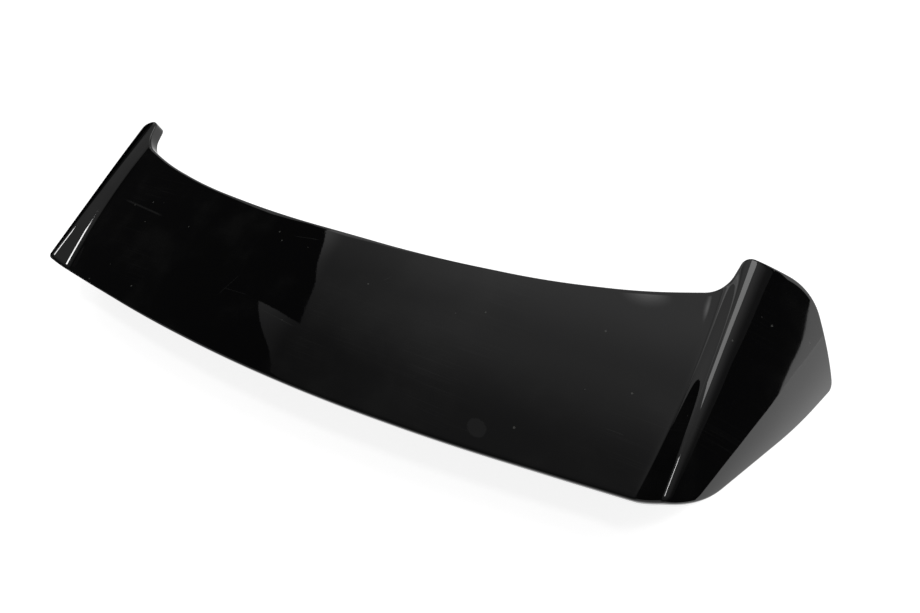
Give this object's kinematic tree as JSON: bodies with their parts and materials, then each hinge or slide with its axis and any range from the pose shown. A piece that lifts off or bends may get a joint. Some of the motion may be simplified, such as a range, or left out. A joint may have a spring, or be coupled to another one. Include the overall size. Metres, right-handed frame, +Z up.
{
  "type": "car roof spoiler",
  "caption": "Gloss black rear roof spoiler for a hatchback: a bowed blade with a raised ridge and a drop-down fin at each end, closed below and fastened by studs.",
  "frame": {"origin": "midway between the two inner studs, on the plane of the stud collars, where the tailgate's sheet seats", "axes": "+X across the car to the right as seen from behind, +Y forward, +Z up"},
  "size_m": [1.1264, 0.3023, 0.1087],
  "materials": {
    "gloss_black_paint": "gloss",
    "black_moulding": "matte",
    "plated_steel": "plated",
    "sealing_foam": "matte"
  },
  "bodies": {
    "root": {"upper_shell": "gloss_black_paint", "lower_shell": "black_moulding", "mounting_studs": "plated_steel", "stud_seals": "sealing_foam", "fin_pads": "sealing_foam"}
  },
  "joints": []
}
